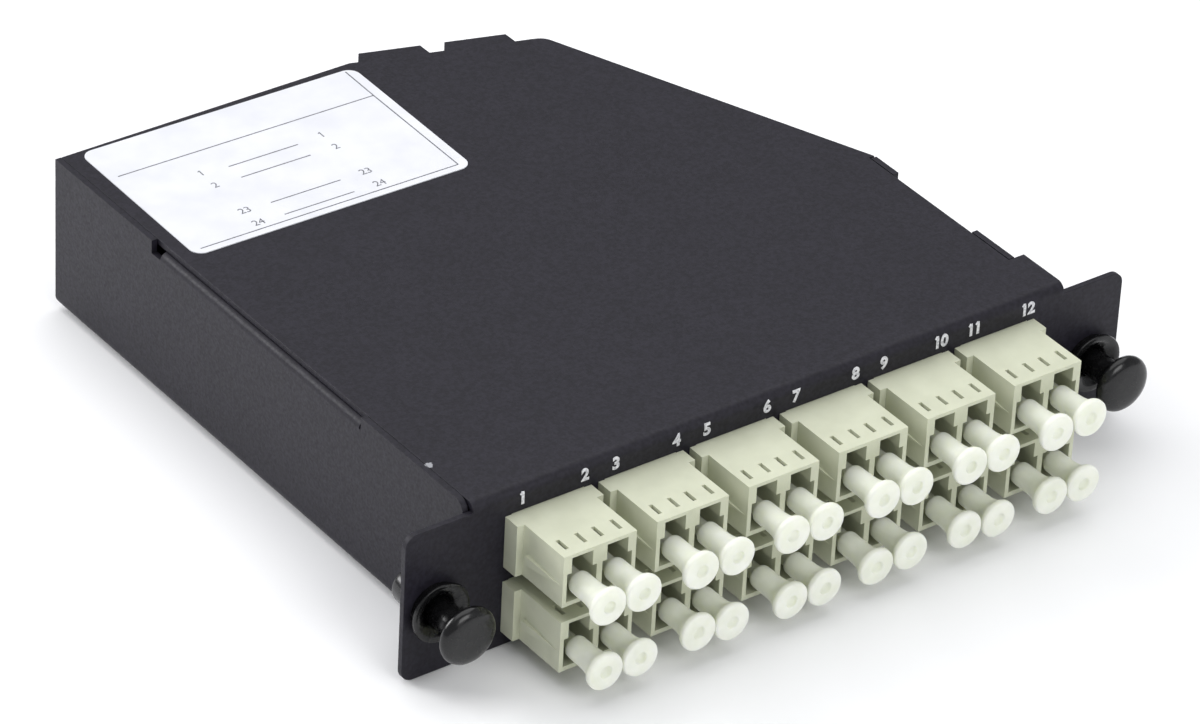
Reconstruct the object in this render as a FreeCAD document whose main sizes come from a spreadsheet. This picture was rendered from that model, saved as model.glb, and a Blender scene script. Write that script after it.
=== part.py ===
"""Fibre cassette: a folded steel tray and cover that turn two 12-fibre rear ports into 24 front ports.

Frame, in millimetres: X runs along the front panel, Y runs from the front to the rear and Z is up.
The bodies are drawn with Y = 0 on the front face of the panel and Z = 0 on its lower edge, and
panel_y then moves them all along Y, so that the origin is the middle of the whole underside.
"""
import FreeCAD, Part
import math
import os
import re
import Sketcher

DIMENSIONS = (
    # folded sheet
    ("sheet", 1.0),
    ("bend_inside", 0.6),
    ("seam", 0.1),
    # front panel
    ("panel_width", 132.0),
    ("panel_height", 25.4),
    ("panel_corner", 2.0),
    ("latch_offset", 60.5),
    ("latch_height", 11.4),
    ("latch_hole", 3.5),
    # cover
    ("cover_top", 27.0),
    ("cover_half", 54.4),
    ("cover_step", 9.9),
    ("cover_right", 51.45),
    # tray
    ("tray_left", -55.5),
    ("tray_right", 52.6),
    ("tray_front", 1.05),
    ("tray_back", 110.1),
    ("tray_floor", 0.5),
    ("left_rest_front", 26.9),
    ("left_rest_back", 80.4),
    ("left_relief", 2.4),
    ("right_rest_front", 19.0),
    ("right_rest_back", 38.4),
    ("rest_reach", 9.0),
    ("rest_bend", 1.2),
    # slanted rear wall
    ("facet_x", -1.2),
    ("facet_end", 29.6),
    ("facet_angle", 17.4),
    ("chamfer_front", 44.3),
    ("corner_round", 3.0),
    ("rear_port_first", 7.4),
    ("rear_port_pitch", 14.2),
    ("rear_port_height", 13.4),
    ("tab_base", 11.8),
    ("tab_taper", 0.8),
    ("tab_reach", 2.5),
    # front adapters
    ("column_first", -41.1),
    ("column_pitch", 16.44),
    ("row_low", 2.6),
    ("row_pitch", 11.4),
    ("port_half", 3.1),
    ("port_axis", 3.3),
    ("barrel_width", 12.8),
    ("barrel_height", 8.8),
    ("barrel_front", 12.8),
    ("barrel_back", 13.2),
    ("ledge_width", 15.2),
    ("ledge_depth", 3.0),
    ("play", 0.08),
    # dust caps
    ("cap_reach", 19.9),
    ("cap_rim", 3.05),
    ("cap_flare", 3.0),
    ("cap_stem", 1.75),
    ("cap_foot", 2.0),
    ("cap_axis", 3.05),
    # latches
    ("collar", 4.9),
    ("collar_reach", 1.9),
    ("latch_barrel", 2.9),
    ("latch_shoulder", 3.4),
    ("latch_bore", 2.3),
    ("plunger_stem", 2.22),
    ("knob", 4.7),
    ("knob_back", 7.2),
    ("knob_front", 9.6),
    ("neck", 2.9),
    ("neck_length", 1.0),
    # label
    ("label_x", -26.9),
    ("label_y", 92.0),
    ("label_width", 50.0),
    ("label_depth", 33.7),
    ("label_thick", 0.15),
    ("label_skew", 1.0),
    # screws that hold the cover down from below
    ("screw_head", 2.1),
    ("screw_thread", 1.25),
    ("post", 2.4),
    # place of the front panel in the finished frame
    ("panel_y", 0.0),
)

COLUMNS = 6
ROWS = 2
CAP_SIDES = 14
SCREW_SIDES = 8
SCREW_SPOTS = ((-44.0, 34.0), (40.0, 30.0), (-44.0, 96.0), (26.0, 88.0))

V = FreeCAD.Vector
doc = FreeCAD.newDocument("fibre_cassette")
sheet = doc.addObject("Spreadsheet::Sheet", "dims")
for line, (alias, number) in enumerate(DIMENSIONS, 1):
    sheet.set(f"A{line}", alias)
    sheet.set(f"B{line}", str(number))
    sheet.setAlias(f"B{line}", alias)
doc.recompute()
ALIASES = {alias for alias, number in DIMENSIONS}


def bind(text):
    """The expression with every dimension's word turned into its cell."""
    return re.sub(r"[a-z_]+", lambda m: f"dims.{m[0]}" if m[0] in ALIASES else m[0], str(text))


def value(text):
    """The number that an expression gives now."""
    return float(sheet.evalExpression(bind(text)))


def new_body(name):
    body = doc.addObject("PartDesign::Body", name)
    body.Label = name
    return body


def place(body, x="0", y="0", z="0"):
    """Move a body to its place, which follows the sheet."""
    for axis, text in (("x", x), ("y", f"{y} + panel_y"), ("z", z)):
        body.setExpression(f"Placement.Base.{axis}", bind(text))


def face_rear_port(body, along):
    """Turn a body square to the slanted rear wall and move it to a rear port."""
    body.Placement.Rotation = FreeCAD.Rotation(V(0, 0, -1), value("facet_angle"))
    body.setExpression("Placement.Rotation.Angle", bind("facet_angle * 1 deg"))
    x, y = facet_point(along, "0")
    place(body, x, y, "rear_port_height")


def facet_point(along, out):
    """X and Y of a point on the slanted wall, by its run along it and its distance out."""
    x = f"facet_x + ({along}) * cos(facet_angle * 1 deg) + ({out}) * sin(facet_angle * 1 deg)"
    y = f"tray_back - ({along}) * sin(facet_angle * 1 deg) + ({out}) * cos(facet_angle * 1 deg)"
    return x, y


def arc_between(start, end, radius, side):
    """The arc from start to end, whose centre is on the left for side 1 and on the right for -1."""
    chord = end - start
    middle = (start + end) * 0.5
    reach = math.sqrt(max(radius ** 2 - (chord.Length / 2) ** 2, 0.0))
    left = V(-chord.y, chord.x, 0).normalize()
    centre = middle + left * (reach * side)
    first, last = (start, end) if side > 0 else (end, start)
    a = math.atan2(first.y - centre.y, first.x - centre.x)
    b = math.atan2(last.y - centre.y, last.x - centre.x)
    if b <= a:
        b += 2 * math.pi
    return Part.ArcOfCircle(Part.Circle(centre, V(0, 0, 1), radius), a, b)


def pin_point(sketch, geometry, point, x, y):
    for kind, text in (("DistanceX", x), ("DistanceY", y)):
        index = sketch.addConstraint(Sketcher.Constraint(kind, -1, 1, geometry, point, value(text)))
        sketch.setExpression(f"Constraints[{index}]", bind(text))


def draw_outline(sketch, corners):
    """A closed outline. A corner is (x, y), or (x, y, radius, side) where an arc leaves it."""
    spots = [V(value(corner[0]), value(corner[1]), 0) for corner in corners]
    edges = []
    for index, corner in enumerate(corners):
        start, end = spots[index], spots[(index + 1) % len(corners)]
        if len(corner) == 2:
            edges.append((sketch.addGeometry(Part.LineSegment(start, end)), 1, 2))
        else:
            arc = arc_between(start, end, value(corner[2]), corner[3])
            first, last = (1, 2) if corner[3] > 0 else (2, 1)
            edges.append((sketch.addGeometry(arc), first, last))
    for index, corner in enumerate(corners):
        edge, first, last = edges[index]
        before, _, end = edges[index - 1]
        sketch.addConstraint(Sketcher.Constraint("Coincident", before, end, edge, first))
        pin_point(sketch, edge, first, corner[0], corner[1])
        if len(corner) == 4:
            arc = sketch.addConstraint(Sketcher.Constraint("Radius", edge, value(corner[2])))
            sketch.setExpression(f"Constraints[{arc}]", bind(corner[2]))


def draw_circle(sketch, x, y, radius):
    circle = Part.Circle(V(value(x), value(y), 0), V(0, 0, 1), value(radius))
    edge = sketch.addGeometry(circle)
    pin_point(sketch, edge, 3, x, y)
    index = sketch.addConstraint(Sketcher.Constraint("Radius", edge, value(radius)))
    sketch.setExpression(f"Constraints[{index}]", bind(radius))


def box_corners(x0, x1, y0, y1):
    return [(x0, y0), (x1, y0), (x1, y1), (x0, y1)]


def new_sketch(body, name, plane, offset, outlines):
    sketch = body.newObject("Sketcher::SketchObject", name)
    support = next(o for o in body.Origin.OriginFeatures if o.Role == f"{plane}_Plane")
    sketch.AttachmentSupport = [(support, "")]
    sketch.MapMode = "FlatFace"
    sketch.setExpression("AttachmentOffset.Base.z", bind(offset))
    for item in outlines:
        if isinstance(item, list):
            draw_outline(sketch, item)
        else:
            draw_circle(sketch, *item)
    return sketch


def regular(radius, sides, x="0", y="0"):
    """The corners of an even-sided outline about a point."""
    turn = 360 / sides
    return [(f"{x} + ({radius}) * cos({turn * i} deg)", f"{y} + ({radius}) * sin({turn * i} deg)")
            for i in range(sides)]


def drawn_through(body, name, sections):
    """A ruled solid through flat outlines, each given as (y, corners in X and Z)."""
    sketches = [new_sketch(body, f"{name}_{index}", "XZ", f"-({y})", [corners])
                for index, (y, corners) in enumerate(sections)]
    feature = body.newObject("PartDesign::AdditiveLoft", name)
    feature.Profile = sketches[0]
    feature.Sections = sketches[1:]
    feature.Ruled = True
    return feature


def copy_body(original, name):
    """A body that takes its whole shape from another, for pieces that repeat."""
    body = new_body(name)
    base = body.newObject("PartDesign::FeatureBase", f"{name}_shape")
    base.BaseFeature = original
    base.Placement = FreeCAD.Placement()
    body.Tip = base
    return body


def slab(body, name, plane, low, high, outlines, cut=False):
    """A pad, or a pocket where cut is set, from low to high along the plane's normal axis.

    The XZ plane faces -Y, so its offsets change sign. A pocket runs against its plane's normal.
    """
    if plane == "XZ":
        offset = f"-({low})" if cut else f"-({high})"
    else:
        offset = high if cut else low
    sketch = new_sketch(body, f"{name}_sketch", plane, offset, outlines)
    before = 0.0
    if cut:
        doc.recompute()
        before = body.Tip.Shape.Volume
    feature = body.newObject("PartDesign::Pocket" if cut else "PartDesign::Pad", name)
    feature.Profile = sketch
    feature.setExpression("Length", bind(f"({high}) - ({low})"))
    if cut:
        doc.recompute()
        if not feature.Shape.Volume < before - 1e-6:
            raise ValueError(f"{name} cuts nothing")
    return feature


def turned(body, name, corners, axis="Y"):
    """A solid of revolution about the body's own axis, from a half outline in the XY plane."""
    sketch = new_sketch(body, f"{name}_sketch", "XY", "0", [corners])
    feature = body.newObject("PartDesign::Revolution", name)
    feature.Profile = sketch
    feature.ReferenceAxis = (sketch, ["V_Axis" if axis == "Y" else "H_Axis"])
    feature.Angle = 360.0
    return feature


def edge_names(shape, test):
    return [f"Edge{i}" for i, edge in enumerate(shape.Edges, 1) if test(edge)]


def round_edges(body, name, radius, test):
    doc.recompute()
    base = body.Tip
    names = edge_names(base.Shape, test)
    if not names:
        raise ValueError(f"{name} finds no edge")
    feature = body.newObject("PartDesign::Fillet", name)
    feature.Base = (base, names)
    feature.setExpression("Radius", bind(radius))
    return feature


def chamfer_edges(body, name, first, second, test):
    """A flat bevel, first along one of the edge's faces and second along the other."""
    doc.recompute()
    base = body.Tip
    names = edge_names(base.Shape, test)
    if not names:
        raise ValueError(f"{name} finds no edge")
    feature = body.newObject("PartDesign::Chamfer", name)
    feature.Base = (base, names)
    feature.ChamferType = "Two distances"
    feature.setExpression("Size", bind(first))
    feature.setExpression("Size2", bind(second))
    return feature


def runs_along(edge, axis):
    ends = edge.Vertexes
    if len(ends) < 2:
        return False
    step = ends[1].Point - ends[0].Point
    return step.Length > 1e-6 and abs(step[axis]) > 0.999 * step.Length


def near(number, text, room=0.02):
    return abs(number - value(text)) < room


# ---------------------------------------------------------------- folded steel

def base_tray():
    """Floor and walls folded up in one sheet, with two ledges folded in to carry the cover."""
    body = new_body("base_tray")
    facet_end_y = facet_point("(facet_end - facet_x) / cos(facet_angle * 1 deg)", "0")[1]
    outline = [
        ("tray_left", "tray_front"), ("tray_right", "tray_front"), ("tray_right", "chamfer_front"),
        ("facet_end", facet_end_y), ("facet_x", "tray_back"), ("tray_left", "tray_back"),
    ]
    slab(body, "tray_block", "XY", "tray_floor", "cover_top", [outline])
    round_edges(body, "wall_corners", "corner_round",
                lambda e: runs_along(e, 2) and e.CenterOfMass.x > value("facet_x") + 1
                and e.CenterOfMass.y > value("tray_front") + 1)
    round_edges(body, "floor_folds", "bend_inside + sheet",
                lambda e: e.BoundBox.ZMax < value("tray_floor") + 0.01
                and e.CenterOfMass.y > value("tray_front") + 0.5)
    doc.recompute()
    solid = body.Tip
    open_faces = []
    for index, face in enumerate(solid.Shape.Faces, 1):
        box = face.BoundBox
        if box.ZLength < 0.01 and near(box.ZMax, "cover_top"):
            open_faces.append(f"Face{index}")
        if box.YLength < 0.01 and near(box.YMax, "tray_front"):
            open_faces.append(f"Face{index}")
    hollow = body.newObject("PartDesign::Thickness", "sheet_walls")
    hollow.Base = (solid, open_faces)
    hollow.setExpression("Value", bind("sheet"))
    hollow.Reversed = True
    hollow.Mode = 0
    hollow.Join = 0
    doc.recompute()
    under_cover = "cover_top - sheet - 0.05"
    slab(body, "rear_walls_lower", "XY", under_cover, "cover_top + 1",
         [box_corners("tray_left + sheet", "tray_right + 5", "chamfer_front - 0.3",
                      "tray_back + 5")],
         cut=True)
    fold_top = f"{under_cover} - rest_bend"
    slab(body, "left_rest_gap", "XY", fold_top, "cover_top + 1",
         [box_corners("tray_left - 1", "tray_left + sheet + 0.5", "left_rest_front",
                      "left_rest_back + left_relief")], cut=True)
    slab(body, "right_rest_gap", "XY", fold_top, "cover_top + 1",
         [box_corners("tray_right - sheet - 0.5", "tray_right + 1", "right_rest_front",
                      "right_rest_back")], cut=True)
    slab(body, "right_front_lower", "XY", under_cover, "cover_top + 1",
         [box_corners("tray_right - sheet - 0.5", "tray_right + 1", "0", "cover_step + 0.1")],
         cut=True)
    slab(body, "right_front_corner", "XY", "panel_height - 0.2", "cover_top + 1",
         [box_corners("tray_right - sheet - 0.5", "tray_right + 1", "0", "1.9")], cut=True)
    for side, wall, inward, front, back in (
            ("left", "tray_left", 1, "left_rest_front + 0.4", "left_rest_back"),
            ("right", "tray_right", -1, "right_rest_front + 0.4", "right_rest_back - 0.4")):
        step = "+" if inward > 0 else "-"
        outer = -inward
        slab(body, f"{side}_rest", "XZ", front, back, [[
            (wall, f"{fold_top} - 0.5"), (wall, fold_top, "rest_bend", outer),
            (f"{wall} {step} rest_bend", under_cover), (f"{wall} {step} rest_reach", under_cover),
            (f"{wall} {step} rest_reach", f"{under_cover} - sheet"),
            (f"{wall} {step} rest_bend", f"{under_cover} - sheet", "rest_bend - sheet", -outer),
            (f"{wall} {step} sheet", fold_top), (f"{wall} {step} sheet", f"{fold_top} - 0.5"),
        ]])
    round_edges(body, "left_front_corner", "2",
                lambda e: runs_along(e, 0) and near(e.CenterOfMass.y, "tray_front")
                and near(e.CenterOfMass.z, "cover_top") and e.CenterOfMass.x < 0)
    slab(body, "screw_holes", "XY", "tray_floor - 1", "tray_floor + sheet + 1",
         [regular("screw_thread + 0.15", SCREW_SIDES, str(x), str(y)) for x, y in SCREW_SPOTS],
         cut=True)
    chamfer_edges(body, "screw_sinks", "screw_head - screw_thread - 0.1",
                  "screw_head - screw_thread - 0.1",
                  lambda e: near(e.BoundBox.ZMax, "tray_floor") and e.Length < 1.5
                  and any(math.hypot(e.CenterOfMass.x - x, e.CenterOfMass.y - y) < 2
                          for x, y in SCREW_SPOTS))
    port_plane(body, "rear_ports")
    place(body)
    return body


def port_plane(body, name):
    """Two square openings cut through the slanted wall."""
    doc.recompute()
    before = body.Tip.Shape.Volume
    sketch = body.newObject("Sketcher::SketchObject", f"{name}_sketch")
    support = next(o for o in body.Origin.OriginFeatures if o.Role == "XZ_Plane")
    sketch.AttachmentSupport = [(support, "")]
    sketch.MapMode = "FlatFace"
    sketch.AttachmentOffset = FreeCAD.Placement(
        V(0, 0, 0), FreeCAD.Rotation(V(0, -1, 0), value("facet_angle")))
    sketch.setExpression("AttachmentOffset.Rotation.Angle", bind("facet_angle * 1 deg"))
    sketch.setExpression("AttachmentOffset.Base.x", bind("facet_x"))
    sketch.setExpression("AttachmentOffset.Base.z", bind("-(tray_back)"))
    for index in range(2):
        middle = f"rear_port_first + {index} * rear_port_pitch"
        draw_outline(sketch, box_corners(f"{middle} - 6.35", f"{middle} + 6.35",
                                         "rear_port_height - 5.0", "rear_port_height + 5.0"))
    ports = body.newObject("PartDesign::Pocket", name)
    ports.Profile = sketch
    ports.SideType = "Symmetric"
    ports.Length = 5.0
    doc.recompute()
    if not ports.Shape.Volume < before - 1.0:
        raise ValueError("the rear ports cut nothing")


def cover_panel():
    """Cover and front panel folded in one sheet: top, soft front bend, panel with two ears."""
    body = new_body("cover_panel")
    bend = "bend_inside + sheet"
    facet_end_y = facet_point("(facet_end - facet_x) / cos(facet_angle * 1 deg)", "0")[1]
    wall_meet = "chamfer_front"
    plan = [("-cover_half", bend), ("cover_half", bend), ("cover_half", "cover_step"),
            ("cover_right", "cover_step"), ("cover_right", wall_meet), ("tray_right - 0.1", wall_meet),
            ("facet_end", facet_end_y)]
    for index in (1, 0):
        middle = f"rear_port_first + {index} * rear_port_pitch"
        for along, out in ((f"{middle} + tab_base / 2", "0"),
                           (f"{middle} + tab_base / 2 - tab_taper", "tab_reach"),
                           (f"{middle} - tab_base / 2 + tab_taper", "tab_reach"),
                           (f"{middle} - tab_base / 2", "0")):
            plan.append(facet_point(along, out))
    plan += [("facet_x", "tray_back"), ("tray_left + sheet + seam", "tray_back"),
             ("tray_left + sheet + seam", f"{bend} + 1")]
    slab(body, "top", "XY", "cover_top - sheet", "cover_top", [plan])
    round_edges(body, "rear_corner", "corner_round",
                lambda e: runs_along(e, 2) and near(e.CenterOfMass.x, "facet_end", 0.1))
    slab(body, "front_bend", "YZ", "-cover_half", "cover_half", [[
        ("0", "panel_height", bend, -1), (bend, "cover_top"), (bend, "cover_top - sheet",
                                                              "bend_inside", 1),
        ("sheet", "panel_height"),
    ]])
    slab(body, "panel", "XZ", "0", "sheet",
         [box_corners("-panel_width / 2", "panel_width / 2", "0", "panel_height")])
    round_edges(body, "ear_corners", "panel_corner",
                lambda e: runs_along(e, 1) and near(abs(e.CenterOfMass.x), "panel_width / 2"))
    half = "barrel_width / 2 + play"
    windows = slab(body, "first_windows", "XZ", "-1", "sheet + 1", [
        box_corners(f"column_first - ({half})", f"column_first + {half}",
                    f"row_low + {row} * row_pitch - play",
                    f"row_low + {row} * row_pitch + barrel_height + play")
        for row in range(ROWS)], cut=True)
    pattern = body.newObject("PartDesign::LinearPattern", "adapter_windows")
    pattern.Originals = [windows]
    profile = windows.Profile[0]
    pattern.Direction = (profile, ["H_Axis"])
    pattern.Mode = "Spacing"
    pattern.setExpression("Offset", bind("column_pitch"))
    pattern.Occurrences = COLUMNS
    body.Tip = pattern
    slab(body, "latch_holes", "XZ", "-1", "sheet + 1",
         [("-latch_offset", "latch_height", "latch_hole"),
          ("latch_offset", "latch_height", "latch_hole")], cut=True)
    place(body)
    return body


# ---------------------------------------------------------------- front ports

def lc_adapter():
    """One duplex adapter, one moulding: stop ledge, barrel, two ports each end, snap ridges."""
    body = new_body("lc_adapter_01")
    half = "barrel_width / 2"
    slab(body, "barrel", "XZ", "-barrel_front", "barrel_back",
         [box_corners(f"-{half}", half, "0", "barrel_height")])
    slab(body, "ledge", "XZ", "-ledge_depth", "0",
         [box_corners("-ledge_width / 2", "ledge_width / 2", "0", "barrel_height")])
    ports = []
    rear_ports = []
    slots = []
    for side in (-1, 1):
        middle = f"{side} * port_half"
        ports.append([(f"{middle} - 2.6", "0.75"), (f"{middle} + 2.6", "0.75"),
                      (f"{middle} + 2.6", "5.6"), (f"{middle} + 1.85", "5.6"),
                      (f"{middle} + 1.85", "8.2"), (f"{middle} - 1.85", "8.2"),
                      (f"{middle} - 1.85", "5.6"), (f"{middle} - 2.6", "5.6")])
        rear_ports.append(box_corners(f"{middle} - 2.4", f"{middle} + 2.4", "0.9", "5.7"))
        for edge in (-1.95, 1.3):
            slots.append(box_corners(f"{middle} + {edge}", f"{middle} + {edge} + 0.65",
                                     "-11.2", "-8.7"))
    slab(body, "front_ports", "XZ", "-barrel_front", "-2.0", ports, cut=True)
    slab(body, "back_ports", "XZ", "3.0", "barrel_back", rear_ports, cut=True)
    slab(body, "latch_slots", "XY", "8.0", "barrel_height", slots, cut=True)
    for side in (-1, 1):
        word = "left" if side < 0 else "right"
        low, high = sorted((f"{side} * ({half} - 0.2)", f"{side} * ({half} + 0.7)"), key=value)
        slab(body, f"{word}_ridge", "YZ", low, high, [[("-12.2", "3.6"), ("-4.4", "2.8"),
                                                       ("-4.4", "4.4")]])
        slab(body, f"{word}_ridge_slope", "XY", "2", "5", [[
            (f"{side} * ({half} + 0.02)", "-12.4"), (f"{side} * ({half} + 0.7)", "-4.4"),
            (f"{side} * ({half} + 1)", "-4.4"), (f"{side} * ({half} + 1)", "-12.4")]], cut=True)
        slab(body, f"{word}_snap", "XY", "2.2", "6.6", [[
            (f"{side} * ({half} - 0.2)", "sheet + 0.05"), (f"{side} * ({half} + 0.5)", "sheet + 0.05"),
            (f"{side} * ({half} - 0.2)", "4.2")]])
    return body


def dust_cap():
    """A soft cap: flange, flare and a long stem that reaches the foot of its port.

    It is drawn with flat sides, because there are 24 of them.
    """
    body = new_body("dust_cap_01")
    slab(body, "flange", "XZ", "0", "cap_flare", [regular("cap_rim", CAP_SIDES)])
    chamfer_edges(body, "flare", "cap_rim - cap_stem - 0.1", "cap_flare - 0.7",
                  lambda e: near(e.BoundBox.YMin, "cap_flare"))
    slab(body, "stem", "XZ", "1", "cap_reach - cap_foot", [regular("cap_stem", CAP_SIDES)])
    return body


def front_ports():
    """Two rows of adapters, each with a cap in both of its ports."""
    parts = []
    first_adapter, first_cap = lc_adapter(), dust_cap()
    for row in range(ROWS):
        for column in range(COLUMNS):
            number = row * COLUMNS + column + 1
            adapter = first_adapter if number == 1 else copy_body(first_adapter,
                                                                  f"lc_adapter_{number:02d}")
            x, z = f"column_first + {column} * column_pitch", f"row_low + {row} * row_pitch"
            place(adapter, x, "0", z)
            parts.append(adapter)
            for side in (-1, 1):
                cap_number = number * 2 - (side < 0)
                cap = first_cap if cap_number == 1 else copy_body(first_cap,
                                                                  f"dust_cap_{cap_number:02d}")
                place(cap, f"{x} + {side} * port_half", "-cap_reach", f"{z} + cap_axis")
                parts.append(cap)
    return parts


# ---------------------------------------------------------------- panel latches

def latch_grommet(side):
    """The fixed half of a push latch: dished collar and a split barrel through the ear."""
    body = new_body("left_latch_grommet" if side < 0 else "right_latch_grommet")
    turned(body, "grommet", [
        ("latch_bore", "-0.6"), ("collar - 0.7", "-collar_reach"), ("collar", "-collar_reach"),
        ("collar", "0"), ("latch_shoulder", "0"), ("latch_shoulder", "sheet"), ("latch_barrel", "sheet"),
        ("latch_barrel", "7.0"), ("latch_bore", "7.0")])
    slab(body, "leg_slots", "XZ", "4.2", "8",
         [box_corners("-0.5", "0.5", "-5", "5")], cut=True)
    place(body, f"{side} * latch_offset", "0", "latch_height")
    return body


def latch_plunger(side):
    """The sliding half: round knob, flared neck and a stem inside the grommet, pulled out."""
    body = new_body("left_latch_plunger" if side < 0 else "right_latch_plunger")
    turned(body, "plunger", [
        ("0", "-knob_front"), ("knob - 1.3", "-knob_front"), ("knob", "0.9 - knob_front"),
        ("knob", "-knob_back"), ("neck", "-knob_back"), ("neck", "neck_length - knob_back"),
        ("plunger_stem", "neck_length - knob_back"), ("plunger_stem", "3.0"), ("0", "3.0")])
    place(body, f"{side} * latch_offset", "0", "latch_height")
    return body


# ---------------------------------------------------------------- rear ports

def mpo_adapter(index):
    """A rear adapter square to the slanted wall, with a keyed mouth each side."""
    body = new_body(f"mpo_adapter_{index + 1}")
    slab(body, "barrel", "XZ", "-11", "8.5", [box_corners("-6.25", "6.25", "-4.9", "4.9")])
    slab(body, "ledge", "XZ", "0", "1.4", [box_corners("-6.95", "6.95", "-5.7", "5.7")])
    mouth = [("-5.1", "-3.7"), ("5.1", "-3.7"), ("5.1", "3.1"), ("1.3", "3.1"), ("1.3", "4.1"),
             ("-1.3", "4.1"), ("-1.3", "3.1"), ("-5.1", "3.1")]
    slab(body, "outer_mouth", "XZ", "1.0", "8.5", [mouth], cut=True)
    slab(body, "inner_mouth", "XZ", "-11", "-0.5", [mouth], cut=True)
    face_rear_port(body, f"rear_port_first + {index} * rear_port_pitch")
    return body


def mpo_dust_cap(index):
    """A square plug cap in the rear port, with a flange for the fingers."""
    body = new_body(f"mpo_dust_cap_{index + 1}")
    slab(body, "plug", "XZ", "1.0", "8.5", [box_corners("-4.95", "4.95", "-3.55", "2.95")])
    slab(body, "head", "XZ", "8.5", "11.2", [box_corners("-5.9", "5.9", "-4.5", "4.5")])
    chamfer_edges(body, "head_corners", "1", "1",
                  lambda e: runs_along(e, 1) and abs(e.CenterOfMass.x) > 5.5)
    face_rear_port(body, f"rear_port_first + {index} * rear_port_pitch")
    return body


def mpo_plug(index):
    """The inside plug of a rear port: keyed body and a tapered boot round the ribbon tube."""
    body = new_body(f"mpo_plug_{index + 1}")
    slab(body, "shell", "XZ", "-17", "-0.5", [
        [("-5.0", "-3.6"), ("5.0", "-3.6"), ("5.0", "3.0"), ("1.2", "3.0"), ("1.2", "4.0"),
         ("-1.2", "4.0"), ("-1.2", "3.0"), ("-5.0", "3.0")]])
    slab(body, "boot", "XZ", "-26", "-17", [box_corners("-2.8", "2.8", "-2.3", "2.3")])
    face_rear_port(body, f"rear_port_first + {index} * rear_port_pitch")
    return body


# ---------------------------------------------------------------- inside harness

def fibre_trunk(index):
    """The round tube that carries twelve fibres from a rear plug straight to its breakout block."""
    body = new_body(f"fibre_trunk_{index + 1}")
    slab(body, "tube", "XZ", f"{-40 + 4 * index}", "-24", [("0", "0", "1.5")])
    face_rear_port(body, f"rear_port_first + {index} * rear_port_pitch")
    return body


def fibre_harness(index):
    """Breakout block with its twelve fibre legs and inside plugs, terminated as one piece."""
    body = new_body(f"fibre_harness_{index + 1}")
    middle = ("-6", "9.5")[index]
    slab(body, "block", "XZ", "50", "72",
         [box_corners(f"{middle} - 5", f"{middle} + 5", "rear_port_height - 4.5",
                      "rear_port_height + 4.5")])
    for place_in_row in range(COLUMNS):
        column = index * 3 + place_in_row // 2
        side = -1 if place_in_row % 2 == 0 else 1
        for row in range(ROWS):
            x = f"column_first + {column} * column_pitch + {side} * port_half"
            z = f"row_low + {row} * row_pitch + port_axis"
            word = f"{place_in_row}_{row}"
            slab(body, f"plug_{word}", "XZ", "3.0", "17.5",
                 [box_corners(f"{x} - 2.25", f"{x} + 2.25", f"{z} - 2.25", f"{z} + 2.25")])
            root_x = f"{middle} + {1.5 * place_in_row - 3.75}"
            root_z = f"rear_port_height + {3 * row - 1.5}"
            drawn_through(body, f"leg_{word}", [
                ("17.0", box_corners(f"{x} - 0.45", f"{x} + 0.45", f"{z} - 0.45", f"{z} + 0.45")),
                ("50.5", box_corners(f"{root_x} - 0.45", f"{root_x} + 0.45",
                                     f"{root_z} - 0.45", f"{root_z} + 0.45"))])
    place(body)
    return body


# ---------------------------------------------------------------- label and fasteners

def cover_label():
    """The paper label on the rear of the cover."""
    body = new_body("label")
    slab(body, "paper", "XY", "0", "label_thick",
         [box_corners("-label_width / 2", "label_width / 2", "-label_depth / 2",
                      "label_depth / 2")])
    round_edges(body, "paper_corners", "2", lambda e: runs_along(e, 2))
    body.Placement.Rotation = FreeCAD.Rotation(V(0, 0, -1), value("label_skew"))
    body.setExpression("Placement.Rotation.Angle", bind("label_skew * 1 deg"))
    place(body, "label_x", "label_y", "cover_top")
    return body


def cover_posts():
    """Four threaded posts clinched into the cover, which the floor is screwed to."""
    body = new_body("cover_posts")
    slab(body, "posts", "XY", "tray_floor + sheet", "cover_top - sheet",
         [regular("post", 6, str(x), str(y)) for x, y in SCREW_SPOTS])
    slab(body, "threads", "XY", "tray_floor + sheet", "tray_floor + 7.5",
         [regular("screw_thread + 0.12", SCREW_SIDES, str(x), str(y)) for x, y in SCREW_SPOTS],
         cut=True)
    place(body)
    return body


def cover_screws():
    """Four flat-headed screws, flush with the floor, with a square drive."""
    body = new_body("cover_screws")
    slab(body, "heads", "XY", "tray_floor", "tray_floor + 0.8",
         [regular("screw_head - 0.05", SCREW_SIDES, str(x), str(y)) for x, y in SCREW_SPOTS])
    chamfer_edges(body, "head_cones", "0.75", "0.75",
                  lambda e: near(e.BoundBox.ZMin, "tray_floor + 0.8"))
    slab(body, "shanks", "XY", "tray_floor + 0.5", "tray_floor + 7",
         [regular("screw_thread", SCREW_SIDES, str(x), str(y)) for x, y in SCREW_SPOTS])
    slab(body, "drives", "XY", "tray_floor - 1", "tray_floor + 0.7",
         [box_corners(f"{x} - 0.6", f"{x} + 0.6", f"{y} - 0.6", f"{y} + 0.6")
          for x, y in SCREW_SPOTS], cut=True)
    place(body)
    return body


def build():
    """Every sub-part of the cassette, in the order of its assembly."""
    parts = [base_tray(), cover_panel(), cover_label(), cover_posts(), cover_screws()]
    parts += front_ports()
    for side in (-1, 1):
        parts += [latch_grommet(side), latch_plunger(side)]
    for index in range(2):
        parts += [mpo_adapter(index), mpo_dust_cap(index), mpo_plug(index), fibre_trunk(index),
                  fibre_harness(index)]
    return parts


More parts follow.
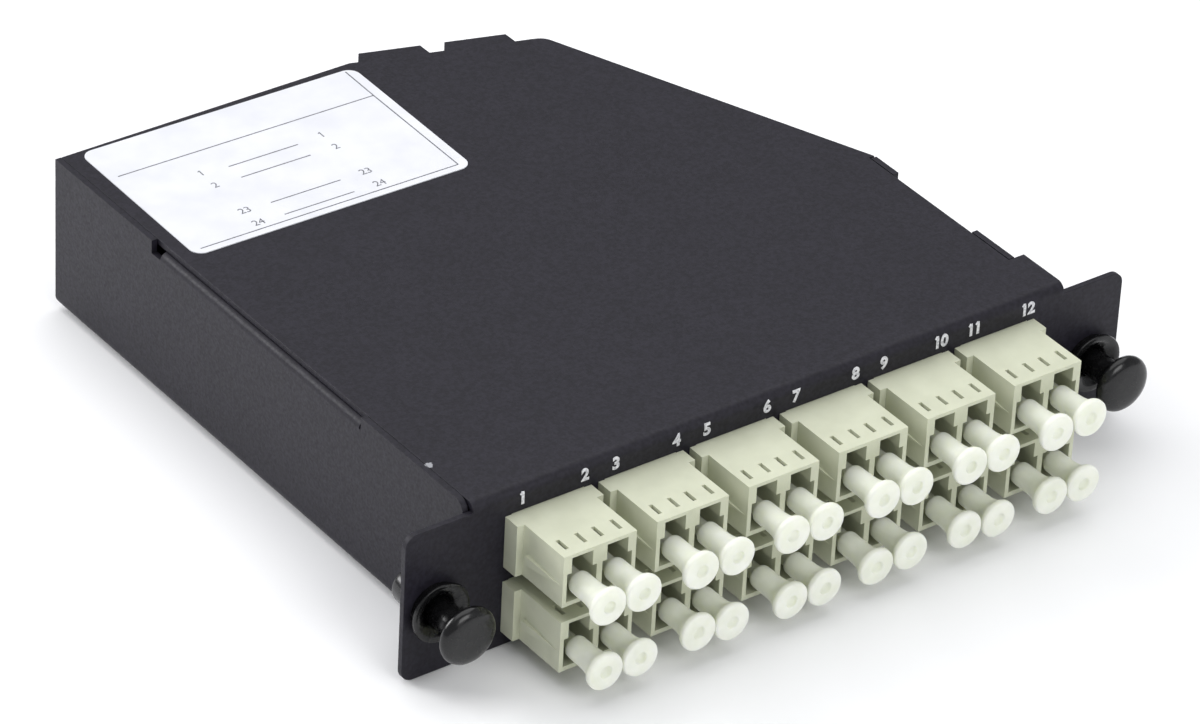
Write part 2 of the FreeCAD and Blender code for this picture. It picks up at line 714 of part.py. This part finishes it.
def check(parts):
    doc.recompute()
    for item in doc.Objects:
        if "Invalid" in item.State or "Error" in item.State:
            raise ValueError(f"{item.Name} failed: {item.State}")
    for part in parts:
        if part.Shape.isNull() or not part.Shape.isValid():
            raise ValueError(f"{part.Label} has a bad shape")


def centre_on_underside(parts):
    """Set panel_y, so that the middle of the whole length is at Y = 0."""
    doc.recompute()
    low = min(part.Shape.BoundBox.YMin for part in parts)
    high = max(part.Shape.BoundBox.YMax for part in parts)
    sheet.set(sheet.getCellFromAlias("panel_y"), str(round(-(low + high) / 2, 3)))


PARTS = build()
centre_on_underside(PARTS)
check(PARTS)
os.makedirs("parts", exist_ok=True)
for part in PARTS:
    part.Shape.exportStep(f"parts/{part.Label}.step")
print(f"{len(PARTS)} sub-parts, panel_y = {value('panel_y')}")
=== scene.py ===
"""Looks of a fibre cassette: powder-coated sheet, moulded ports, soft caps, latches and a label.

Lengths are in metres, and in millimetres where they are multiplied by MM. "front" is the front
face of the panel. Places along the panel and up from its lower edge are the same as in the CAD.
"""
import math

import bmesh
import bpy
from mathutils import Matrix, Vector


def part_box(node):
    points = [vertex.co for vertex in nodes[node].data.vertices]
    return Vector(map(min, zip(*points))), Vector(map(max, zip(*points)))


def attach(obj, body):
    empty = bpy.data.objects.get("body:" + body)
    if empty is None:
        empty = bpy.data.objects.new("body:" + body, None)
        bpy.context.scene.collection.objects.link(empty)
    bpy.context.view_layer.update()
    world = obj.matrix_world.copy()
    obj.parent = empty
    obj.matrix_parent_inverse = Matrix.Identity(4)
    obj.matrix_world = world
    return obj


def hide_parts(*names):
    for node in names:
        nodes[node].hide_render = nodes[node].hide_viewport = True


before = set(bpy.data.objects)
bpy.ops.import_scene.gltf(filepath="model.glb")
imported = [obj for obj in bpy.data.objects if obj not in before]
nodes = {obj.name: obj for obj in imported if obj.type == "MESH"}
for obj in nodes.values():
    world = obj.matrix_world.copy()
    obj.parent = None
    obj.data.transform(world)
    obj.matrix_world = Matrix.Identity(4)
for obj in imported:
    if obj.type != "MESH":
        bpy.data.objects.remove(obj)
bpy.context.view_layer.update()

MM = 0.001
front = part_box("cover_panel")[0].y
cover_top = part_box("cover_panel")[1].z
scene = bpy.context.scene

# Radius of the rounded edges, by the kind of piece.
SHEET_EDGE = 0.12 * MM
ADAPTER_EDGE = 0.2 * MM
REAR_ADAPTER_EDGE = 0.15 * MM
REAR_CAP_EDGE = 0.25 * MM
# An edge that turns more than that is rounded, and faces that turn less than that are one face.
SHARP_EDGE = math.radians(30)
FLAT_ENOUGH = math.radians(0.5)
# Points closer than that are one point.
SAME_POINT = 0.0005 * MM
NEAR_POINT = 0.002 * MM


def tint(hexa):
    """A linear colour from the usual six digits."""
    parts = [int(hexa[i:i + 2], 16) / 255 for i in (0, 2, 4)]
    return tuple(c / 12.92 if c <= 0.04045 else ((c + 0.055) / 1.055) ** 2.4 for c in parts) + (1,)


# ------------------------------------------------------------------ materials

class Finish:
    """A procedural material, with short calls for the nodes that it is built from."""

    def __init__(self, name, **sockets):
        self.material = bpy.data.materials.new(name)
        self.material.use_nodes = True
        self.tree = self.material.node_tree
        self.shader = self.tree.nodes["Principled BSDF"]
        for socket, number in sockets.items():
            self.shader.inputs[socket.replace("_", " ")].default_value = number
        self.where = self.node("ShaderNodeTexCoord").outputs["Object"]

    def node(self, kind, **values):
        made = self.tree.nodes.new(kind)
        for key, value in values.items():
            socket = made.inputs.get(key.replace("_", " "))
            if socket is not None:
                socket.default_value = value
            else:
                setattr(made, key, value)
        return made

    def link(self, out, into):
        self.tree.links.new(out, into)

    def noise(self, size, detail=2.0, rough=0.5):
        """Noise whose patches are about that many metres across."""
        made = self.node("ShaderNodeTexNoise", Scale=1 / size, Detail=detail, Roughness=rough)
        self.link(self.where, made.inputs["Vector"])
        return made.outputs["Fac"]

    def ramp(self, source, low, high, start=0.3, end=0.7):
        made = self.node("ShaderNodeValToRGB")
        first, last = made.color_ramp.elements
        first.position, first.color = start, low
        last.position, last.color = end, high
        self.link(source, made.inputs["Fac"])
        return made.outputs["Color"]

    def spread(self, source, low, high, start=0.3, end=0.7):
        """A number that follows the noise from low to high."""
        made = self.node("ShaderNodeMapRange", From_Min=start, From_Max=end,
                         To_Min=low, To_Max=high)
        self.link(source, made.inputs["Value"])
        return made.outputs["Result"]

    def colour(self, source):
        self.link(source, self.shader.inputs["Base Color"])

    def roughness(self, source):
        self.link(source, self.shader.inputs["Roughness"])

    def bump(self, source, height, strength=1.0):
        made = self.node("ShaderNodeBump", Strength=strength, Distance=height)
        self.link(source, made.inputs["Height"])
        self.link(made.outputs["Normal"], self.shader.inputs["Normal"])


CHIP_PLACE = (-0.0541, front + 0.0116, cover_top)
CHIP_INSIDE, CHIP_OUTSIDE = 0.98 * MM, 1.1 * MM
CHIP_RAGGED = 0.9 * MM


def powder_coat():
    """Fine-grained black powder coat, with a small chip to the steel near one front corner."""
    coat = Finish("powder_coat", Specular_IOR_Level=0.26)
    grain = coat.noise(0.45 * MM, 3.0, 0.6)
    cloud = coat.noise(9 * MM, 2.0)
    fleck = coat.ramp(coat.noise(0.7 * MM, 1.0), tint("1b1921"), tint("24222b"), 0.35, 0.65)
    broad = coat.node("ShaderNodeMix", data_type="RGBA", blend_type="MULTIPLY")
    broad.inputs["Factor"].default_value = 0.4
    coat.link(fleck, broad.inputs["A"])
    coat.link(coat.ramp(cloud, (0.7, 0.7, 0.72, 1), (1, 1, 1, 1)), broad.inputs["B"])
    from_chip = coat.node("ShaderNodeVectorMath", operation="DISTANCE")
    from_chip.inputs[1].default_value = CHIP_PLACE
    coat.link(coat.where, from_chip.inputs[0])
    ragged = coat.node("ShaderNodeMath", operation="MULTIPLY_ADD")
    ragged.inputs[1].default_value = CHIP_RAGGED
    coat.link(coat.noise(0.5 * MM, 3.0), ragged.inputs[0])
    coat.link(from_chip.outputs["Value"], ragged.inputs[2])
    bare = coat.spread(ragged.outputs["Value"], 1.0, 0.0, CHIP_INSIDE, CHIP_OUTSIDE)
    chipped = coat.node("ShaderNodeMix", data_type="RGBA")
    coat.link(bare, chipped.inputs["Factor"])
    coat.link(broad.outputs["Result"], chipped.inputs["A"])
    chipped.inputs["B"].default_value = tint("9a9ba0")
    coat.colour(chipped.outputs["Result"])
    coat.roughness(coat.spread(grain, 0.40, 0.56))
    coat.bump(grain, 0.02 * MM, 0.8)
    return coat.material


def moulding(name, low, high, rough=0.38, soft=0.08):
    """A satin moulding, a little translucent, with a spark-eroded skin."""
    skin = Finish(name, Subsurface_Weight=soft, Subsurface_Radius=(1.0, 0.9, 0.6),
                  Subsurface_Scale=0.6 * MM, Specular_IOR_Level=0.45)
    skin.colour(skin.ramp(skin.noise(4 * MM, 3.0), low, high))
    skin.roughness(skin.spread(skin.noise(0.3 * MM), rough - 0.06, rough + 0.08))
    skin.bump(skin.noise(0.12 * MM, 2.0), 0.004 * MM, 0.5)
    return skin.material


def milky_cap():
    """Soft translucent plastic."""
    skin = Finish("milky_cap", Subsurface_Weight=0.6, Subsurface_Radius=(1.0, 1.0, 0.8),
                  Subsurface_Scale=1.9 * MM, Specular_IOR_Level=0.4)
    skin.colour(skin.ramp(skin.noise(3 * MM, 2.0), tint("e6e9da"), tint("eff1e6")))
    skin.roughness(skin.spread(skin.noise(0.5 * MM), 0.34, 0.5))
    skin.bump(skin.noise(0.6 * MM, 2.0), 0.01 * MM, 0.4)
    return skin.material


def gloss_black():
    """Polished black moulding with faint handling marks."""
    skin = Finish("gloss_black", Specular_IOR_Level=0.36, Coat_Weight=0.15,
                  Coat_Roughness=0.1)
    skin.colour(skin.ramp(skin.noise(2 * MM), tint("09090a"), tint("121213")))
    skin.roughness(skin.spread(skin.noise(1.2 * MM, 4.0), 0.16, 0.34))
    skin.bump(skin.noise(0.5 * MM, 2.0), 0.003 * MM, 0.5)
    return skin.material


def label_film():
    """White label film."""
    film = Finish("label_film", Specular_IOR_Level=0.4)
    film.colour(film.ramp(film.noise(6 * MM, 3.0), tint("d9dae0"), tint("e2e3e8")))
    film.roughness(film.spread(film.noise(1.5 * MM), 0.42, 0.52))
    film.bump(film.noise(0.3 * MM), 0.003 * MM, 0.4)
    return film.material


def ink(name, low, high):
    """Printed ink, thinner in places."""
    print_ = Finish(name, Specular_IOR_Level=0.3)
    print_.colour(print_.ramp(print_.noise(0.35 * MM, 3.0), low, high, 0.35, 0.6))
    print_.roughness(print_.spread(print_.noise(0.3 * MM), 0.5, 0.65))
    return print_.material


def plated_steel():
    """Zinc-plated steel."""
    metal = Finish("plated_steel", Metallic=1.0)
    metal.colour(metal.ramp(metal.noise(1.5 * MM, 3.0), tint("8d8f92"), tint("a9abad")))
    metal.roughness(metal.spread(metal.noise(0.4 * MM), 0.28, 0.45))
    metal.bump(metal.noise(0.2 * MM), 0.003 * MM, 0.5)
    return metal.material


COAT = powder_coat()
BEIGE = moulding("beige_moulding", tint("c6c9b2"), tint("cfd2bb"))
CAP = milky_cap()
BLACK = gloss_black()
FILM = label_film()
GREY_INK = ink("grey_ink", tint("55565c"), tint("7a7b82"))
LIGHT_INK = ink("light_ink", tint("b9b9bf"), tint("e6e6ea"))
STEEL = plated_steel()
DARK_MOULDING = moulding("black_moulding", tint("17171a"), tint("202023"), 0.42, 0.0)
GREY_MOULDING = moulding("grey_moulding", tint("6b6c70"), tint("77787c"), 0.4, 0.0)
AQUA = moulding("aqua_sleeve", tint("5fb7b4"), tint("74c6c2"), 0.4, 0.1)

# ------------------------------------------------------------------ making pieces


def finished(name, form, material, body="cassette", stands_for=(), smooth=35):
    """An object from a bmesh whose place is already in its mesh."""
    bmesh.ops.recalc_face_normals(form, faces=form.faces)
    mesh = bpy.data.meshes.new(name)
    form.to_mesh(mesh)
    form.free()
    for face in mesh.polygons:
        face.use_smooth = True
    mesh.set_sharp_from_angle(angle=math.radians(smooth))
    mesh.materials.append(material)
    piece = bpy.data.objects.new(name, mesh)
    scene.collection.objects.link(piece)
    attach(piece, body)
    if stands_for:
        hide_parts(*stands_for)
    return piece


def weigh_normals(mesh, reach=50):
    """Shade large faces flat and let only the narrow faces of a rounded edge turn the light."""
    around = [[] for _ in mesh.vertices]
    for face in mesh.polygons:
        for index in face.vertices:
            around[index].append(face)
    least = math.cos(math.radians(reach))
    normals = []
    for face in mesh.polygons:
        for index in face.vertices:
            total = Vector((0, 0, 0))
            for other in around[index]:
                if other.normal.dot(face.normal) > least:
                    total += other.normal * other.area
            normals.append(total.normalized())
    mesh.normals_split_custom_set(normals)


def softened(node, material, radius):
    """A CAD piece with its sharp edges rounded as the real ones are."""
    form = bmesh.new()
    form.from_mesh(nodes[node].data)
    bmesh.ops.remove_doubles(form, verts=form.verts, dist=SAME_POINT)
    bmesh.ops.dissolve_limit(form, angle_limit=FLAT_ENOUGH, verts=form.verts, edges=form.edges)
    edges = [e for e in form.edges
             if len(e.link_faces) == 2 and e.calc_face_angle(0) > SHARP_EDGE]
    bmesh.ops.bevel(form, geom=edges, offset=radius, offset_type="OFFSET", segments=2,
                    profile=0.5, affect="EDGES", clamp_overlap=True, material=-1)
    bmesh.ops.remove_doubles(form, verts=form.verts, dist=NEAR_POINT)
    piece = finished(f"soft_{node}", form, material, stands_for=[node], smooth=20)
    weigh_normals(piece.data)


def spun(profile, steps, centre):
    """A closed turned shape about an axis along Y, from (radius, y) points off its axis."""
    form = bmesh.new()
    line = [form.verts.new((radius * MM, y * MM, 0)) for radius, y in profile]
    edges = [form.edges.new(pair) for pair in zip(line, line[1:])]
    bmesh.ops.spin(form, geom=line + edges, cent=(0, 0, 0), axis=(0, 1, 0), dvec=(0, 0, 0),
                   angle=math.tau, steps=steps, use_merge=True)
    bmesh.ops.remove_doubles(form, verts=form.verts, dist=SAME_POINT)
    bmesh.ops.translate(form, verts=form.verts, vec=centre)
    return form


# ------------------------------------------------------------------ folded sheet

def dress(names, material):
    """Give CAD pieces a material and leave their shape alone."""
    for name in names:
        nodes[name].data.materials.clear()
        nodes[name].data.materials.append(material)


dress(nodes, COAT)
softened("cover_panel", COAT, SHEET_EDGE)
softened("base_tray", COAT, SHEET_EDGE)
dress(["cover_screws", "cover_posts"], STEEL)

LABEL_SINK = 0.012 * MM


def label_sheet():
    """The label's film, thinner by the height of its print, so that the print ends at its top."""
    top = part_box("label")[1].z
    form = bmesh.new()
    form.from_mesh(nodes["label"].data)
    for vert in form.verts:
        if vert.co.z > top - SAME_POINT:
            vert.co.z -= LABEL_SINK
    return form


finished("label_sheet", label_sheet(), FILM, stands_for=["label"])

# ------------------------------------------------------------------ front ports

for name in sorted(nodes):
    if name.startswith("lc_adapter"):
        softened(name, BEIGE, ADAPTER_EDGE)

# (radius, distance from the outer end) in millimetres, from the dimple to the foot.
CAP_PROFILE = [
    (0, 0.55), (0.75, 0.5), (0.95, 0.3), (1.02, 0.06), (1.15, 0), (2.72, 0), (2.93, 0.08),
    (3.04, 0.28), (3.05, 0.75), (2.93, 1.05), (2.62, 1.4), (2.34, 1.9), (2.12, 2.5), (1.98, 3.2),
    (1.9, 4.0), (1.87, 5.0), (1.86, 7.2), (1.8, 7.6), (1.6, 7.95), (1.35, 8.1), (1.25, 8.2),
    (1.25, 17.4), (1.1, 17.6), (0, 17.6),
]
CAP_LENGTH, CAP_SIDES = 17.8, 40
# The caps sit that much deeper than in the CAD, so that a leaning rim stays inside its box.
CAP_SET_IN = 0.15
# How far the outer ends of the caps that sit askew are moved, to the right and up, in millimetres.
CAP_SHIFTS = {
    3: (0.15, 0.5), 5: (0.55, -0.45), 6: (0.55, -0.45), 7: (-0.15, -0.4), 10: (0.2, -0.4),
    16: (0.25, 0), 19: (0.15, 0.1), 20: (0.15, 0.1), 24: (0.15, 0.4),
}
for number, name in enumerate((n for n in sorted(nodes) if n.startswith("dust_cap")), 1):
    low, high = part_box(name)
    foot = Vector(((low.x + high.x) / 2, low.y + CAP_LENGTH * MM, (low.z + high.z) / 2))
    cap = spun(CAP_PROFILE, CAP_SIDES, foot - Vector((0, (CAP_LENGTH - CAP_SET_IN) * MM, 0)))
    across, up = CAP_SHIFTS.get(number, (0, 0))
    for axis, lean in (("Z", across / CAP_LENGTH), ("X", -up / CAP_LENGTH)):
        bmesh.ops.rotate(cap, verts=cap.verts, cent=foot, matrix=Matrix.Rotation(lean, 3, axis))
    finished(f"soft_{name}", cap, CAP, stands_for=[name], smooth=60)

# ------------------------------------------------------------------ latches

# Both profiles are (radius, y) in millimetres, with y from the front face of the panel.
GROMMET_PROFILE = [
    (2.3, -0.5), (2.5, -0.72), (2.9, -1.05), (3.4, -1.45), (3.8, -1.72), (4.2, -1.87), (4.6, -1.88),
    (4.82, -1.78), (4.9, -1.58), (4.88, -1.3), (4.75, -1.12), (4.35, -1.0), (4.25, -0.8), (4.25, 0),
    (3.4, 0), (3.4, 1.0), (2.9, 1.0), (2.9, 6.4), (2.7, 7.0), (2.3, 7.0), (2.3, -0.5),
]
KNOB_PROFILE = [
    (0, -9.6), (1.6, -9.58), (2.8, -9.48), (3.6, -9.3), (4.2, -9.0), (4.55, -8.65), (4.7, -8.25),
    (4.7, -7.85), (4.55, -7.5), (4.2, -7.28), (3.6, -7.15), (3.1, -6.95), (2.7, -6.5), (2.4, -5.9),
    (2.26, -5.2), (2.22, -4.6), (2.22, 2.8), (2.05, 3.0), (0, 3.0),
]

SLOT_HALF, SLOT_START = 0.5 * MM, 4.2 * MM
LATCH_SIDES = 64


def everything(form):
    return form.verts[:] + form.edges[:] + form.faces[:]


def split_in_two(form, axis):
    """Open the slot that parts a grommet's barrel into two legs."""
    for side in (-1, 1):
        bmesh.ops.bisect_plane(form, geom=everything(form), plane_no=(1, 0, 0),
                               plane_co=(axis[0] + side * SLOT_HALF, 0, 0))
    bmesh.ops.bisect_plane(form, geom=everything(form), plane_no=(0, 1, 0),
                           plane_co=(0, axis[1] + SLOT_START, 0))
    slot = [f for f in form.faces if abs(f.calc_center_median().x - axis[0]) < SLOT_HALF
            and f.calc_center_median().y > axis[1] + SLOT_START]
    bmesh.ops.delete(form, geom=slot, context="FACES")
    bmesh.ops.holes_fill(form, edges=[e for e in form.edges if e.is_boundary], sides=0)


for side, body in (("left", "left_plunger"), ("right", "right_plunger")):
    low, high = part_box(f"{side}_latch_grommet")
    axis = ((low.x + high.x) / 2, front, (low.z + high.z) / 2)
    collar = spun(GROMMET_PROFILE, LATCH_SIDES, axis)
    split_in_two(collar, axis)
    finished(f"{side}_grommet", collar, BLACK, stands_for=[f"{side}_latch_grommet"],
             smooth=40)
    knob = spun(KNOB_PROFILE, LATCH_SIDES, axis)
    finished(f"{side}_knob", knob, BLACK, body, [f"{side}_latch_plunger"], 60)

# ------------------------------------------------------------------ rear ports and inside

for index in (1, 2):
    softened(f"mpo_adapter_{index}", DARK_MOULDING, REAR_ADAPTER_EDGE)
    softened(f"mpo_dust_cap_{index}", GREY_MOULDING, REAR_CAP_EDGE)
    dress([f"mpo_plug_{index}"], BEIGE)
    dress([f"fibre_trunk_{index}", f"fibre_harness_{index}"], AQUA)

# ------------------------------------------------------------------ printing

# Half the thickness of the ink, and how far the middle of it is above the label.
INK_HALF, INK_LIFT = 0.006 * MM, 0.004 * MM
# The font's size for figures one unit high, and the step from one figure to the next.
FONT_SIZE, FIGURE_STEP = 1.38, 0.66


def lettering(form, figures, height, place, turn, heavy=0.0):
    """Add plain figures to a form, flat and face up, centred on place before the turn.

    The font's 1 is a bare stroke, so a short flag is added to it. heavy widens the strokes.
    """
    pitch = FIGURE_STEP * height
    for index, figure in enumerate(figures):
        across = (index - (len(figures) - 1) / 2) * pitch
        curve = bpy.data.curves.new("figure", "FONT")
        curve.body, curve.size, curve.extrude = figure, height * FONT_SIZE, INK_HALF
        curve.align_x, curve.align_y, curve.offset = "CENTER", "CENTER", heavy
        holder = bpy.data.objects.new("figure", curve)
        scene.collection.objects.link(holder)
        bpy.context.view_layer.update()
        at = turn @ Matrix.Translation(Vector(place) + Vector((across, 0, 0)))
        mesh = bpy.data.meshes.new_from_object(
            holder.evaluated_get(bpy.context.evaluated_depsgraph_get()))
        if figure == "1":
            top = max(vert.co.y for vert in mesh.vertices)
            rule(form, Vector((-0.22 * height, top - 0.2 * height, 0)),
                 Vector((0, top - 0.02 * height, 0)), 0.11 * height + heavy, at)
        mesh.transform(at)
        form.from_mesh(mesh)
        bpy.data.objects.remove(holder)
        bpy.data.meshes.remove(mesh)
        bpy.data.curves.remove(curve)


def rule(form, start, end, width, turn):
    """Add a thin printed line."""
    middle, run = (start + end) / 2, end - start
    made = bmesh.ops.create_cube(form, size=1.0)["verts"]
    bmesh.ops.scale(form, verts=made, vec=(run.length, width, 2 * INK_HALF))
    bmesh.ops.rotate(form, verts=made, cent=(0, 0, 0),
                     matrix=Matrix.Rotation(math.atan2(run.y, run.x), 3, "Z"))
    bmesh.ops.translate(form, verts=made, vec=middle)
    bmesh.ops.transform(form, verts=made, matrix=turn)


NUMBER_PLACES = [-45.7, -34.7, -29.2, -18.3, -12.8, -1.8, 3.5, 14.6, 19.9, 30.7, 37.1, 47.4]
NUMBER_HEIGHT, NUMBER_MIDDLE = 2.0 * MM, 24.85 * MM
# Some weights break the fill of a figure, such as 0.1 that of 3 and 9. This one fills all ten.
NUMBER_HEAVY = 0.12 * MM
BEND_RADIUS, BEND_START = 1.6 * MM, 25.4 * MM


def port_numbers():
    """The twelve port numbers, printed in a row above the upper ports and round the bend."""
    form = bmesh.new()
    up = Matrix.Rotation(math.radians(90), 4, "X")
    for number, across in enumerate(NUMBER_PLACES, 1):
        at = Matrix.Translation((across * MM, front - 2 * INK_HALF, NUMBER_MIDDLE)) @ up
        lettering(form, str(number), NUMBER_HEIGHT, (0, 0, 0), at, NUMBER_HEAVY)
    for rise in (0, 0.25, 0.5, 0.75):
        bmesh.ops.bisect_plane(form, geom=everything(form), plane_no=(0, 0, 1),
                               plane_co=(0, 0, BEND_START + rise * MM))
    for vert in form.verts:
        rise = min(BEND_RADIUS, max(0.0, vert.co.z - BEND_START))
        vert.co.y += BEND_RADIUS - math.sqrt(BEND_RADIUS ** 2 - rise ** 2)
    return form


finished("port_numbers", port_numbers(), LIGHT_INK)


# The print in millimetres from the label's middle, before the label's turn: the rules round the
# map, the ends and the heights of the short rules, and the columns and heights of the figures.
LONG_RULES = [((-23.4, 8.2), (23.2, 8.2)), ((23.2, 8.2), (23.3, 16.4)),
              ((23.2, 8.2), (23.2, -15.5)), ((23.2, -15.5), (-23.4, -15.5))]
SHORT_RULE, SHORT_RULES = (-7.4, 5.2), (2.0, -1.6, -10.0, -13.9)
FIGURE_COLUMNS = (-12.0, 9.9)
FIGURE_ROWS = (("1", 2.5), ("2", -1.5), ("23", -9.9), ("24", -13.8))
RULE_WIDTH, FIGURE_HEIGHT = 0.22 * MM, 1.55 * MM
LABEL_TURN = math.radians(-1)


def label_print():
    """Rules and plain figures of the port map on the label."""
    low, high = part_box("label")
    middle = Vector(((low.x + high.x) / 2, (low.y + high.y) / 2,
                     high.z - LABEL_SINK + INK_LIFT))
    turn = Matrix.Translation(middle) @ Matrix.Rotation(LABEL_TURN, 4, "Z")
    form = bmesh.new()
    lines = LONG_RULES + [((SHORT_RULE[0], y), (SHORT_RULE[1], y)) for y in SHORT_RULES]
    for (x0, y0), (x1, y1) in lines:
        rule(form, Vector((x0, y0, 0)) * MM, Vector((x1, y1, 0)) * MM, RULE_WIDTH, turn)
    for across in FIGURE_COLUMNS:
        for number, y in FIGURE_ROWS:
            lettering(form, number, FIGURE_HEIGHT, Vector((across, y, 0)) * MM, turn)
    return form


finished("label_print", label_print(), GREY_INK)

# ------------------------------------------------------------------ floor, light and camera

FLOOR_REACH, FLOOR_GAP = 4.0, 0.2 * MM


def floor():
    """White paper under the part."""
    form = bmesh.new()
    bmesh.ops.create_grid(form, x_segments=1, y_segments=1, size=FLOOR_REACH)
    bmesh.ops.translate(form, verts=form.verts, vec=(0, 0, -FLOOR_GAP))
    mesh = bpy.data.meshes.new("floor")
    form.to_mesh(mesh)
    form.free()
    paper = Finish("floor_paper", Roughness=0.9, Specular_IOR_Level=0.1)
    paper.colour(paper.ramp(paper.noise(0.3), (0.93, 0.93, 0.94, 1), (0.95, 0.95, 0.96, 1)))
    mesh.materials.append(paper.material)
    piece = bpy.data.objects.new("floor", mesh)
    scene.collection.objects.link(piece)


def softbox(name, place, aim, size, power):
    """A square area light that faces a point."""
    lamp = bpy.data.lights.new(name, "AREA")
    lamp.shape, lamp.size, lamp.energy = "SQUARE", size, power
    holder = bpy.data.objects.new(name, lamp)
    holder.location = place
    holder.rotation_euler = (Vector(aim) - Vector(place)).to_track_quat("-Z", "Y").to_euler()
    scene.collection.objects.link(holder)


floor()
softbox("overhead", (0.15, 0.3, 1.25), (0, 0, 0), 1.6, 12)
softbox("front_fill", (0.1, -1.3, 0.85), (0, 0, 0), 0.8, 8)
softbox("left_fill", (-0.6, 0.75, 0.5), (-0.06, 0.03, 0), 0.5, 7)

scene.world = bpy.data.worlds.new("studio")
scene.world.use_nodes = True
sky = scene.world.node_tree.nodes["Background"].inputs
sky["Color"].default_value = (0.95, 0.97, 1.0, 1)
sky["Strength"].default_value = 0.42
scene.view_settings.view_transform = "Standard"

lens = bpy.data.cameras.new("camera")
lens.lens, lens.sensor_width, lens.clip_start = 196.74, 36.0, 0.01
camera = bpy.data.objects.new("camera", lens)
camera.location = (-0.50843, front - 0.61626, 0.55915)
camera.rotation_euler = (0.985291, -0.044707, -0.627345)
scene.collection.objects.link(camera)
scene.camera = camera
